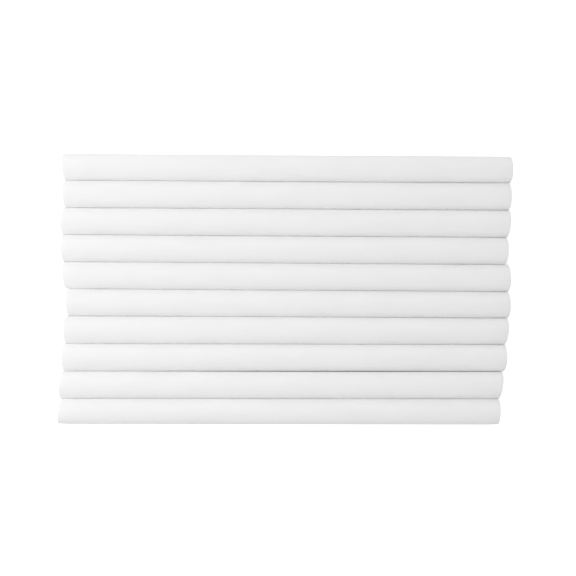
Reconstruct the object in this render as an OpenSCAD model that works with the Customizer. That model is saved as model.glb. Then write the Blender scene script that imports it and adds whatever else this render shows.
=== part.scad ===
// A row of blunt blending stumps: sticks of soft white paper that smudge chalk, charcoal and pencil.
// Each stump is one strip of soft paper, wound up tight from a pinhole, inside one smooth cover
// sheet whose end laps over its own start. The lap lies low on one side, off the table.
// The stumps lie along X, the first at +Y and the last at -Y, and each rests on z = 0.
// The origin is under the middle of the row. All sizes are in millimetres.

/* [Row] */
// Stumps in the row
stump_count = 10; // [2:1:30]
// Air between two neighbours where they come closest
row_gap = 0.06; // [0.05:0.01:0.5]

/* [Stump] */
// Usual thickness, over the cover sheet
stump_d = 7.9; // [5:0.1:16]
// Usual length
stump_l = 133; // [60:1:200]

/* [Roll] */
// Thickness of the soft strip that is wound up
strip_t = 0.45; // [0.3:0.05:0.8]
// Air between one turn of the strip and the next
turn_gap = 0.02; // [0.02:0.01:0.05]
// Width of the pinhole that the winding pin leaves
pinhole_d = 0.8; // [0.4:0.1:1.5]
// How deep the outer half turn is pressed flat by the cover
squeeze = 0.03; // [0.02:0.01:0.06]

/* [Cover] */
// Thickness of the cover sheet
cover_t = 0.16; // [0.1:0.02:0.3]
// Angle over which the sheet climbs before its end
lap_angle = 34; // [25:1:42]
// Angle that the end of the sheet reaches past its start
lap_reach = 20; // [10:1:24]
// Width of the slit at the start of the sheet, under the lap
slit_w = 0.04; // [0.03:0.01:0.1]
// Angle between the end of the sheet and straight down
seam_angle = 45; // [42:1:48]

/* [Hidden] */
// What makes each stump its own, from the first to the last. A longer row repeats these lists.
longer_by = [1.5, 0.8, 1.4, 0.4, 0.7, -0.6, -0.2, -0.3, -0.2, -0.7];
thicker_by = [0.05, 0, 0, 0, 0, -0.1, -0.05, -0.1, 0, -0.2];
slid_by = [0.6, 0.5, 0.3, -0.1, 0.3, 0.9, 0.5, -0.1, -1.1, -1.9];
// Degrees clockwise, seen from above
turned_by = [0.36, 0.3, 0.37, 0.37, 0.38, 0.37, 0.23, 0.04, 0.06, 0.09];
// Spare air between a stump and the next, past the closest that they could lie
loose_by = [0.1, 0.1, 0.12, 0.12, 0.08, 0, 0, 0.25, 0.1, 0.05];
// Degrees that the cut at the -X and at the +X end is off square. Above 0, the -Y side is longer.
left_skew = [-4, -2, 3, -1, -5, -1, 0, 0, 4, 7];
right_skew = [1, 0, -5, -2, 0, 0, -6, -3, -7, -2];
// The side of the row that each lap faces
lap_side = [1, -1, 1, 1, -1, -1, 1, -1, 1, -1];
// Turn of each winding about its stump, as a multiple of this many degrees
winding_step = 137;

function pick(list, i) = list[i % len(list)];
function length(i) = stump_l + pick(longer_by, i);
function radius(i) = (stump_d + pick(thicker_by, i)) / 2;
function turn(i) = pick(turned_by, i);

// Where two stumps aren't parallel, their middles lie further apart by the splay of their ends.
reach = (stump_l + max(longer_by)) / 2 + max(slid_by);
function splay(i) = reach * abs(sin(turn(i) - turn(i + 1)));
function step(i) = radius(i) + row_gap + pick(loose_by, i) + splay(i) + radius(i + 1);
function row_y(i) = i == 0 ? 0 : row_y(i - 1) - step(i - 1);

// A stump's plan before it is turned: where its cut at one end (-1 or 1) meets a line along it
function skew(i, end) = pick(end < 0 ? left_skew : right_skew, i);
function cut_x(i, end, y) =
    end * (length(i) / 2 - radius(i) * abs(tan(skew(i, end))) - y * tan(skew(i, end)));

// The plan's corners in the row, and the middle of the row's box, which the origin lies under
function turned(p, a) = [p.x * cos(a) + p.y * sin(a), p.y * cos(a) - p.x * sin(a)];
all = [0 : stump_count - 1];
corners = [
    for (i = all, end = [-1, 1], y = [-radius(i), radius(i)])
        turned([cut_x(i, end, y), y], turn(i)) + [pick(slid_by, i), row_y(i)]
];
middle_x = (max([for (p = corners) p.x]) + min([for (p = corners) p.x])) / 2;
middle_y = (max([for (p = corners) p.y]) + min([for (p = corners) p.y])) / 2;

// The winding is made of half turns about two centres, each half a pitch smaller than the one
// round it. They are counted from the cover in to the pinhole.
pitch = strip_t + turn_gap;
function bore_r(i) = radius(i) - cover_t;
function turn_r(i, j) = bore_r(i) + squeeze + pitch / 4 - strip_t - j * pitch / 2;
function half_turns(i) = 1 + floor((turn_r(i, 0) - pinhole_d / 2) / (pitch / 2));

// The lap is a circle set off towards the seam, so that the sheet climbs smoothly to its end.
lap_shift = cover_t / (1 - cos(lap_angle));

roll_colour = "#ece9e3";
cover_colour = "#f5f4f1";
$fn = 96;

function two_digits(n) = n < 10 ? str("0", n) : str(n);
function node_name(i, piece) = str("stump_", two_digits(i + 1), "_", piece);

// The plan of a stump from above, with its cuts a little off square and room at its sides
module plan(i) {
    side = 2 * radius(i);
    linear_extrude(height = 2 * side, center = true)
        polygon([for (c = [[-1, -1], [1, -1], [1, 1], [-1, 1]])
            [cut_x(i, c.x, c.y * side), c.y * side]]);
}

// Lays a section drawn in the XY plane out as stump i. Its X axis points down and its Y axis to +Y.
module lay(i)
    translate([pick(slid_by, i) - middle_x, row_y(i) - middle_y, radius(i)])
        rotate([0, 0, -turn(i)])
            intersection() {
                rotate([0, 90, 0])
                    linear_extrude(height = length(i) + stump_d, center = true)
                        children();
                plan(i);
            }

// One half turn of the strip, above the X axis for side 1 and below it for side -1
module half_turn(inner_r, side)
    intersection() {
        difference() {
            circle(inner_r + strip_t);
            circle(inner_r);
        }
        translate([-2 * stump_d, side > 0 ? 0 : -2 * stump_d]) square([4 * stump_d, 2 * stump_d]);
    }

// The whole strip, pressed round where it meets the cover
module winding(i)
    intersection() {
        for (j = [0 : half_turns(i) - 1]) {
            side = j % 2 == 0 ? 1 : -1;
            translate([-side * pitch / 4, 0]) half_turn(turn_r(i, j), side);
        }
        circle(bore_r(i));
    }

// The sheet's last stretch, which climbs from the flush circle to its end at the X axis
module lap(r)
    intersection() {
        translate([lap_shift, 0]) circle(r + cover_t - lap_shift);
        square(2 * r);
    }

// The cover sheet from the end, with its start left open by a slit under the lap
module sheet(r)
    difference() {
        union() {
            circle(r);
            lap(r);
        }
        circle(r - cover_t);
        rotate(lap_reach) translate([r - 2 * cover_t, 0]) square([2 * cover_t, slit_w]);
    }

module stump_roll(i)
    color(roll_colour) lay(i) rotate(i * winding_step) mirror([0, i % 3 == 1 ? 1 : 0]) winding(i);

module stump_cover(i)
    color(cover_colour) lay(i) mirror([0, pick(lap_side, i) < 0 ? 1 : 0])
        rotate(seam_angle) sheet(radius(i));

for (i = all) {
    stump_roll(i);
    stump_cover(i);
}
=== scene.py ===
"""Ten blunt blending stumps side by side on a white table.

Each stump is a strip of soft paper, wound up tight from a pinhole, inside a smooth cover sheet whose
end laps over its own start. Both are modelled turn for turn about the stumps of the CAD frame.
"""

import math

import bmesh
import bpy
import numpy as np
from mathutils import Matrix, Vector


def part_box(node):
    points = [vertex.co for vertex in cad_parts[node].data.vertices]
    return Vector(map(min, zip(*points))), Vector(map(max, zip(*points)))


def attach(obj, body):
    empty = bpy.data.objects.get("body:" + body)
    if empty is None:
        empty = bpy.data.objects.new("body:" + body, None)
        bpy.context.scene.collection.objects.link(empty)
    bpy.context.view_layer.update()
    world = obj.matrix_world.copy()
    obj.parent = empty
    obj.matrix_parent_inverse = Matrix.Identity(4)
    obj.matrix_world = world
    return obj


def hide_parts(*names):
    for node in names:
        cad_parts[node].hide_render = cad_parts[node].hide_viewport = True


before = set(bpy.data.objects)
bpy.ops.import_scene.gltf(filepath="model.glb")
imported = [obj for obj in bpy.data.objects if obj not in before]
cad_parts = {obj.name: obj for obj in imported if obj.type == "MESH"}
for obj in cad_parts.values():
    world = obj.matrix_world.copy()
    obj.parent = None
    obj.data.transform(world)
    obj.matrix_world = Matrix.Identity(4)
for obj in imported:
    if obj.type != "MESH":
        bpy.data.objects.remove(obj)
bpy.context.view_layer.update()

MM = 0.001
AXIS = Vector((1, 0, 0))

# The cover sheet: its thickness, the angle that its lap climbs over, how far its end reaches past its
# start and lies from straight down, the side that each lap faces (+1 for +Y), and a step round it
COVER_T = 0.16 * MM
LAP_ANGLE = math.radians(34)
LAP_REACH = math.radians(20)
SEAM_ANGLE = math.radians(45)
LAP_SIDES = [1, -1, 1, 1, -1, -1, 1, -1, 1, -1]
SHEET_STEP = 0.27 * MM

# The wound strip: its thickness, the pitch of its turns, the pinhole, how deep the cover presses it, the
# turn from one winding to the next one's, a step round it and its faces across
STRIP_T = 0.45 * MM
PITCH = STRIP_T + 0.02 * MM
PINHOLE_R = 0.4 * MM
SQUEEZE = 0.03 * MM
WINDING_STEP = math.radians(137)
STRIP_STEP = 0.42 * MM
STRIP_ROWS = 6
# The strip's edges round off at a cut: by how much, how fully, and over what length
ROUNDING = 0.11 * MM
ROUNDNESS = 0.96
ROUNDED_LENGTH = 0.3 * MM

# Where a piece is divided along its length: how far in from each cut, and into how many parts between
COVER_DIVIDED = [d * MM for d in (0, 0.02, 0.07, 0.2, 0.6)]
COVER_PARTS = 36
STRIP_DIVIDED = [d * MM for d in (0, 0.05, 0.15, 0.5)]
STRIP_PARTS = 12

# Paper isn't true. The sheet dips along a stump, in dips drawn out along it
DIP = 0.012 * MM
DIP_SIZE = 8 * MM
DRAWN_OUT = 5
# The rim is crushed in at a cut: by how much, over what length, and by at least what share
CRUSH = 0.1 * MM
CRUSH_LENGTH = 0.5 * MM
CRUSH_SIZE = 5 * MM
CRUSH_LEAST = 0.4
# The cut is wavy and bowed: its sides are drawn back, but by less on the open sides of the row
WAVY_CUT = 0.07 * MM
WAVY_SIZE = 7 * MM
BOW = 0.6 * MM
BOW_POWER = 3
OPEN_BOW = 0.35
# The turns of the strip end unevenly. All that moves a cut fades over the last length
UNEVEN = 0.14 * MM
UNEVEN_SIZE = 1.6 * MM
CUT_DEPTH = 3 * MM
# A random field is a sum of waves, each between these two shares of its size long, scaled to 0 to 1.
# Each stump has seeds of its own
WAVES = 6
WAVE_SHARES = 0.7, 1.6
SWING = 2.2
SEEDS_EACH = 10
# Thin enough not to show: the air between surfaces that would otherwise lie in one another
HAIR = 0.005 * MM

# Soft sides are pressed flat against each other: how much wider the stumps would be if nothing stopped
# them, at shares of their length from the -X end, and the air that is left between each pair
PRESSED_AT = 0, 0.085, 1
PRESSED = 0.16, 0.09, 0.04
AIR = [d * MM for d in (0.02, 0.02, 0.02, 0.01, 0.01, 0.02, 0.01, 0.03, 0.02)]
# One pair, named by its lower number, is bent apart: by how much, at what x and how far to either side
BENT_PAIR = 8
BENT_AIR = 0.17 * MM
BENT_X = 15 * MM
BENT_REACH = 60 * MM


class Stump:
    """Where one stump lies, read from its CAD cover: its middle and direction, radius, length and the
    slope of its two cuts, which are a little off square."""

    def __init__(self, number):
        self.name = f"stump_{number:02d}"
        self.number = number
        low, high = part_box(self.name + "_cover")
        self.radius = (high.z - low.z) / 2
        points = np.array([v.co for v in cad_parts[self.name + "_cover"].data.vertices])
        ends = points[points[:, 0] < 0], points[points[:, 0] > 0]
        self.left, self.right = (Vector((end.min(0) + end.max(0)) / 2) for end in ends)
        along = self.right - self.left
        self.length = along.length
        self.place = Matrix.Translation((self.left + self.right) / 2) @ Matrix.Rotation(
            math.atan2(along.y, along.x), 4, "Z")
        back = np.array(self.place.inverted())
        self.slopes = []
        for end in ends:
            own = end @ back[:3, :3].T + back[:3, 3]
            self.slopes.append(float(np.polyfit(own[:, 1], own[:, 0], 1)[0]))

    def middle_y(self, x):
        """Where the axis is at x."""
        along = (x - self.left.x) / (self.right.x - self.left.x)
        return self.left.y + (self.right.y - self.left.y) * along

    def pressed(self, x, y, share, side):
        """The y of points of the stump once its side is pressed against a neighbour, on side +1 for +Y
        and -1 for -Y. Points further in, at a smaller share of the radius, are stopped sooner."""
        other = stumps.get(self.number - side)
        if other is None:
            return y
        between = side * (other.middle_y(x) - self.middle_y(x)) - self.radius - other.radius
        pair = min(self.number, other.number)
        air = AIR[pair - 1]
        if pair == BENT_PAIR:
            air = air + BENT_AIR * np.maximum(0, 1 - ((x - BENT_X) / BENT_REACH) ** 2)
        stop = self.radius + (between - air) / 2
        wider = np.interp((x - self.left.x) / self.length, PRESSED_AT, PRESSED)
        spread = np.minimum(np.abs(y) * (stop / self.radius + wider), stop * np.minimum(share, 1))
        return np.where(y * side > 0, side * spread, y)


def field(points, size, seed):
    """A smooth random value from 0 to 1 at each point, made of crossing waves of about that size."""
    draw = np.random.default_rng(seed)
    total = np.zeros(len(points))
    for _ in range(WAVES):
        way = draw.normal(size=3)
        way *= 2 * math.pi / (size * draw.uniform(*WAVE_SHARES) * np.linalg.norm(way))
        total += np.sin(points @ way + draw.uniform(0, 2 * math.pi))
    return np.clip(0.5 + total / (SWING * math.sqrt(WAVES)), 0, 1)


def section(bm, stump, low, high, columns, rows):
    """A flat strip of faces that hangs straight down from the axis, between two radii. Its columns lie
    at the given shares of half the length, from -1 to 1."""
    half = stump.length / 2
    bmesh.ops.create_grid(bm, x_segments=len(columns) - 1, y_segments=rows, size=1)
    for v in bm.verts:
        column = round((v.co.x + 1) / 2 * (len(columns) - 1))
        v.co = Vector((columns[column] * half, 0, -(low + (high - low) * (v.co.y + 1) / 2)))
    return bm.verts[:] + bm.edges[:] + bm.faces[:]


def wind(bm, last, centre, angle, radius, step):
    """Spins the last section on about a centre in the end view, and returns the new last one. Each
    step is about that far along a turn of that radius."""
    return bmesh.ops.spin(bm, geom=last, cent=centre, axis=AXIS, angle=angle,
                          steps=max(8, round(abs(angle) * radius / step)), use_duplicate=False,
                          use_merge=False)["geom_last"]


def columns_for(stump, near_cut, between):
    """Places along a stump from -1 to 1: close together near the cuts, and evenly spread between."""
    half = stump.length / 2
    ends = [1 - d / half for d in near_cut]
    middle = [ends[-1] * (1 - 2 * n / between) for n in range(1, between)]
    return sorted([-e for e in ends] + middle + ends)


def settle(mesh, stump, is_cover):
    """Takes the true round and the square cuts off a straight stump, then lays it in its place."""
    half = stump.length / 2
    points = np.empty(len(mesh.vertices) * 3)
    mesh.vertices.foreach_get("co", points)
    x, y, z = points.reshape(-1, 3).T.copy()
    radius = np.maximum(np.hypot(y, z), HAIR)
    way_y, way_z = y / radius, z / radius
    skin = np.stack([x / DRAWN_OUT, way_y * stump.radius, way_z * stump.radius], 1)
    end = np.sign(x)
    from_cut = np.maximum(half - np.abs(x), 0)
    seed = stump.number * SEEDS_EACH
    dip = DIP * field(skin, DIP_SIZE, seed)
    crushed = CRUSH_LEAST + field(skin, CRUSH_SIZE, seed + 1)
    crush = CRUSH * np.exp(-from_cut / CRUSH_LENGTH) * crushed
    is_open = np.where(y > 0, stump.number == 1, stump.number == len(stumps))
    bow = BOW * np.where(is_open, OPEN_BOW, 1) * np.abs(y / stump.radius) ** BOW_POWER
    back = WAVY_CUT * field(skin, WAVY_SIZE, seed + 2) + bow
    if not is_cover:
        at_end = np.stack([end * UNEVEN_SIZE, y, z], 1)
        back += UNEVEN * field(at_end, UNEVEN_SIZE, seed + 3)
    x -= end * back * np.exp(-from_cut / CUT_DEPTH)
    share = radius / stump.radius
    radius -= (dip + crush) * share
    y, z = way_y * radius, way_z * radius
    for side in (-1, 1):
        y = stump.pressed(x + stump.place.translation.x, y, share, side)
    along = (x + half) / (2 * half)
    x += (stump.slopes[0] * (1 - along) + stump.slopes[1] * along) * y
    place = np.array(stump.place)
    laid = np.stack([x, y, z], 1) @ place[:3, :3].T + place[:3, 3]
    mesh.vertices.foreach_set("co", laid.ravel())


def finished(bm, name, stump, node, material):
    """Turns a closed shape into a piece that rides on its stump and stands for its CAD node."""
    bmesh.ops.recalc_face_normals(bm, faces=bm.faces)
    for face in bm.faces:
        face.smooth = True
    mesh = bpy.data.meshes.new(name)
    bm.to_mesh(mesh)
    bm.free()
    settle(mesh, stump, node.endswith("_cover"))
    mesh.update()
    mesh.materials.append(material)
    piece = bpy.data.objects.new(name, mesh)
    bpy.context.scene.collection.objects.link(piece)
    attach(piece, stump.name)
    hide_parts(node)


def cover_sheet(stump):
    """One sheet of smooth paper round a stump. Its start is tucked in under its end, which climbs over
    it. The lap faces down to one side."""
    bm = bmesh.new()
    inner, outer = stump.radius - COVER_T, stump.radius - HAIR
    shift = COVER_T / (1 - math.cos(LAP_ANGLE))
    lap_centre = Vector((0, 0, -shift))
    columns = columns_for(stump, COVER_DIVIDED, COVER_PARTS)
    last = section(bm, stump, inner, outer, columns, 1)
    tuck = LAP_REACH * inner / (inner - shift)
    bmesh.ops.rotate(bm, cent=lap_centre, matrix=Matrix.Rotation(tuck, 3, "X"), verts=bm.verts)
    last = wind(bm, last, lap_centre, -tuck, inner, SHEET_STEP)
    climb_cos = math.cos(LAP_ANGLE) + shift * math.sin(LAP_ANGLE) ** 2 / (2 * stump.radius)
    climb = math.acos(climb_cos)
    last = wind(bm, last, (0, 0, 0), climb - 2 * math.pi, outer, SHEET_STEP)
    swing = math.asin(stump.radius * math.sin(climb) / (stump.radius + COVER_T - shift))
    wind(bm, last, lap_centre, -swing, outer, SHEET_STEP)
    bmesh.ops.rotate(bm, cent=(0, 0, 0), matrix=Matrix.Rotation(SEAM_ANGLE, 3, "X"), verts=bm.verts)
    if LAP_SIDES[stump.number - 1] < 0:
        bmesh.ops.scale(bm, vec=(1, -1, 1), verts=bm.verts)
    return bm


def wound_strip(stump):
    """The strip of soft paper: half turns about two centres, from the cover in to the pinhole."""
    bm = bmesh.new()
    bore = stump.radius - COVER_T - HAIR
    first = stump.radius - COVER_T + SQUEEZE + PITCH / 4 - STRIP_T
    half_turns = 1 + math.floor((first - PINHOLE_R) / (PITCH / 2))
    columns = columns_for(stump, STRIP_DIVIDED, STRIP_PARTS)
    last = section(bm, stump, first, first + STRIP_T, columns, STRIP_ROWS)
    middle = first + STRIP_T / 2
    for v in bm.verts:
        height = (abs(v.co.z) - middle) / (STRIP_T / 2)
        from_cut = stump.length / 2 - abs(v.co.x)
        recess = ROUNDING * (1 - math.sqrt(max(0, 1 - ROUNDNESS * height ** 2)))
        v.co.x -= math.copysign(recess * math.exp(-from_cut / ROUNDED_LENGTH), v.co.x)
    side = Vector((0, 0, PITCH / 4))
    bmesh.ops.rotate(bm, cent=(0, 0, 0), matrix=Matrix.Rotation(math.pi, 3, "X"), verts=bm.verts)
    for v in bm.verts:
        v.co += side
    for turn in range(half_turns):
        radius = first - turn * PITCH / 2
        last = wind(bm, last, side if turn % 2 == 0 else -side, -math.pi, radius, STRIP_STEP)
    for v in bm.verts:
        reach = math.hypot(v.co.y, v.co.z)
        if reach > bore:
            v.co.yz = v.co.yz * (bore / reach)
    if stump.number % 3 == 2:
        bmesh.ops.scale(bm, vec=(1, -1, 1), verts=bm.verts)
    bmesh.ops.rotate(bm, cent=(0, 0, 0), verts=bm.verts,
                     matrix=Matrix.Rotation((stump.number - 1) * WINDING_STEP, 3, "X"))
    return bm


def linear(code):
    """A colour from its sRGB hex code, turned to linear light."""
    parts = [int(code[n:n + 2], 16) / 255 for n in (1, 3, 5)]
    return [p / 12.92 if p <= 0.04045 else ((p + 0.055) / 1.055) ** 2.4 for p in parts] + [1]


def add(tree, kind, inputs=None, **settings):
    """Adds a node with its settings. Each input is a value, or the output that feeds it."""
    node = tree.nodes.new(kind)
    for name, value in settings.items():
        setattr(node, name, value)
    for socket, value in (inputs or {}).items():
        if isinstance(value, bpy.types.NodeSocket):
            tree.links.new(value, node.inputs[socket])
        else:
            node.inputs[socket].default_value = value
    return node


def new_material(name):
    """An empty material, its tree and its output."""
    material = bpy.data.materials.new(name)
    material.use_nodes = True
    material.node_tree.nodes.clear()
    return material, material.node_tree


def smooth_cover_paper():
    """Calendered wood-free paper, pressed between rollers: white, matt with a faint silkiness, and
    cloudy where its fibres lie thicker."""
    material, tree = new_material("smooth_calendered_paper")
    place = add(tree, "ShaderNodeTexCoord").outputs["Object"]
    # Clouds about 4 mm across and 12 mm long, drawn out along the stump
    drawn = add(tree, "ShaderNodeMapping", {"Vector": place, "Scale": (0.33, 1, 1)}).outputs[0]
    clouds = add(tree, "ShaderNodeTexNoise", {"Vector": drawn, "Scale": 1 / (4 * MM), "Detail": 4.0,
                                              "Roughness": 0.6}).outputs["Fac"]
    cloud_share = add(tree, "ShaderNodeMapRange", {"Value": clouds, "From Min": 0.3, "From Max": 0.7,
                                                   "To Min": 0.0, "To Max": 1.0}).outputs[0]
    colour = add(tree, "ShaderNodeMix", {"Factor": cloud_share, "A": linear("#f2f2f2"),
                                         "B": linear("#f5f5f5")}, data_type="RGBA").outputs["Result"]
    # Fibres are 0.02 mm wide, which is too fine to show, so they are drawn 0.25 mm wide
    fibres = add(tree, "ShaderNodeTexNoise", {"Vector": place, "Scale": 1 / (0.25 * MM), "Detail": 3.0,
                                              "Roughness": 0.6}).outputs["Fac"]
    bump = add(tree, "ShaderNodeBump", {"Height": fibres, "Distance": 0.02 * MM,
                                        "Strength": 0.5}).outputs["Normal"]
    rough = add(tree, "ShaderNodeMapRange", {"Value": clouds, "From Min": 0.3, "From Max": 0.7,
                                             "To Min": 0.62, "To Max": 0.74}).outputs[0]
    shader = add(tree, "ShaderNodeBsdfPrincipled", {"Base Color": colour, "Roughness": rough,
                                                    "IOR": 1.45, "Specular IOR Level": 0.35,
                                                    "Normal": bump})
    add(tree, "ShaderNodeOutputMaterial", {"Surface": shader.outputs[0]})
    return material


def soft_strip_paper():
    """Unsized felted paper, like blotting paper: dull, slightly warm and fuzzy at its cut edges."""
    material, tree = new_material("soft_felted_paper")
    place = add(tree, "ShaderNodeTexCoord").outputs["Object"]
    tufts = add(tree, "ShaderNodeTexNoise", {"Vector": place, "Scale": 1 / (0.3 * MM), "Detail": 5.0,
                                             "Roughness": 0.7}).outputs["Fac"]
    share = add(tree, "ShaderNodeMapRange", {"Value": tufts, "From Min": 0.3, "From Max": 0.7,
                                             "To Min": 0.0, "To Max": 1.0}).outputs[0]
    colour = add(tree, "ShaderNodeMix", {"Factor": share, "A": linear("#e2e0db"),
                                         "B": linear("#f0efec")}, data_type="RGBA").outputs["Result"]
    bump = add(tree, "ShaderNodeBump", {"Height": tufts, "Distance": 0.08 * MM,
                                        "Strength": 0.8}).outputs["Normal"]
    rough = add(tree, "ShaderNodeMapRange", {"Value": tufts, "From Min": 0.3, "From Max": 0.7,
                                             "To Min": 0.88, "To Max": 0.98}).outputs[0]
    shader = add(tree, "ShaderNodeBsdfPrincipled", {"Base Color": colour, "Roughness": rough,
                                                    "IOR": 1.45, "Specular IOR Level": 0.2,
                                                    "Normal": bump})
    add(tree, "ShaderNodeOutputMaterial", {"Surface": shader.outputs[0]})
    return material


cover_paper = smooth_cover_paper()
strip_paper = soft_strip_paper()
stumps = {number: Stump(number) for number in range(1, 11)}
for stump in stumps.values():
    finished(cover_sheet(stump), stump.name + "_cover_sheet", stump, stump.name + "_cover",
             cover_paper)
    finished(wound_strip(stump), stump.name + "_wound_strip", stump, stump.name + "_roll",
             strip_paper)

# Camera, straight above the row
camera = bpy.data.objects.new("camera", bpy.data.cameras.new("camera"))
bpy.context.scene.collection.objects.link(camera)
camera.data.lens = 85
camera.data.sensor_width = 36
camera.data.clip_start = 0.05
camera.data.clip_end = 20
camera.location = (1.0 * MM, 0.34 * MM, 411.3 * MM)
bpy.context.scene.camera = camera

# White table, 12 m across. Within the distance below of what stands on it, its glow is dimmed into
# painted shade
TABLE_R = 6
PAINTED_SHADE_REACH = 6 * MM
bm = bmesh.new()
bmesh.ops.create_circle(bm, cap_ends=True, segments=64, radius=TABLE_R)
table_mesh = bpy.data.meshes.new("table")
bm.to_mesh(table_mesh)
bm.free()
table = bpy.data.objects.new("table", table_mesh)
bpy.context.scene.collection.objects.link(table)
# The table is lit from below as well, for the eye only: it stays plain white up to where something
# stands on it, and lights nothing. Near what stands on it, ambient occlusion dims this glow, which
# paints shade under and beside it
table_paint, tree = new_material("glowing_table_with_painted_shade")
shader = add(tree, "ShaderNodeBsdfPrincipled", {"Base Color": linear("#f6f6f6"), "Roughness": 0.9})
# Painted shade: ambient occlusion fades the table's glow near anything close by
painted_shade_opening = add(tree, "ShaderNodeAmbientOcclusion", {"Distance": PAINTED_SHADE_REACH}).outputs["AO"]
seen = add(tree, "ShaderNodeLightPath").outputs["Is Camera Ray"]
glow = add(tree, "ShaderNodeMath", {0: painted_shade_opening, 1: seen}, operation="MULTIPLY").outputs[0]
glow_with_painted_shade = add(tree, "ShaderNodeEmission", {"Strength": glow})
both = add(tree, "ShaderNodeAddShader", {0: shader.outputs[0], 1: glow_with_painted_shade.outputs[0]})
add(tree, "ShaderNodeOutputMaterial", {"Surface": both.outputs[0]})
table_mesh.materials.append(table_paint)

# A white studio: bright low round the table, softer above
world = bpy.data.worlds.new("studio")
bpy.context.scene.world = world
world.use_nodes = True
tree = world.node_tree
tree.nodes.clear()
way = add(tree, "ShaderNodeTexCoord").outputs["Generated"]
height = add(tree, "ShaderNodeSeparateXYZ", {"Vector": way}).outputs["Z"]
sky = add(tree, "ShaderNodeMapRange", {"Value": height, "From Min": 0.2, "From Max": 0.6,
                                       "To Min": 0.97, "To Max": 0.423},
          interpolation_type="SMOOTHSTEP").outputs[0]
# Behind the table the eye sees plain white, like the table
seen = add(tree, "ShaderNodeLightPath").outputs["Is Camera Ray"]
glow = add(tree, "ShaderNodeMath", {0: sky, 1: seen}, operation="MAXIMUM").outputs[0]
back = add(tree, "ShaderNodeBackground", {"Color": (1, 1, 1, 1), "Strength": glow})
add(tree, "ShaderNodeOutputWorld", {"Surface": back.outputs[0]})


def soft_light(name, place, size, power):
    """A soft square light that looks at the middle of the row."""
    data = bpy.data.lights.new(name, "AREA")
    data.energy = power
    data.size = size
    light = bpy.data.objects.new(name, data)
    light.location = place
    light.rotation_euler = (-Vector(place)).to_track_quat("-Z", "Y").to_euler()
    bpy.context.scene.collection.objects.link(light)


soft_light("left", (-0.35, 0.1, 0.5), 0.3, 2.094)
soft_light("low_left", (-0.5, -0.3, 0.3), 0.3, 0.111)

bpy.context.scene.view_settings.view_transform = "Standard"
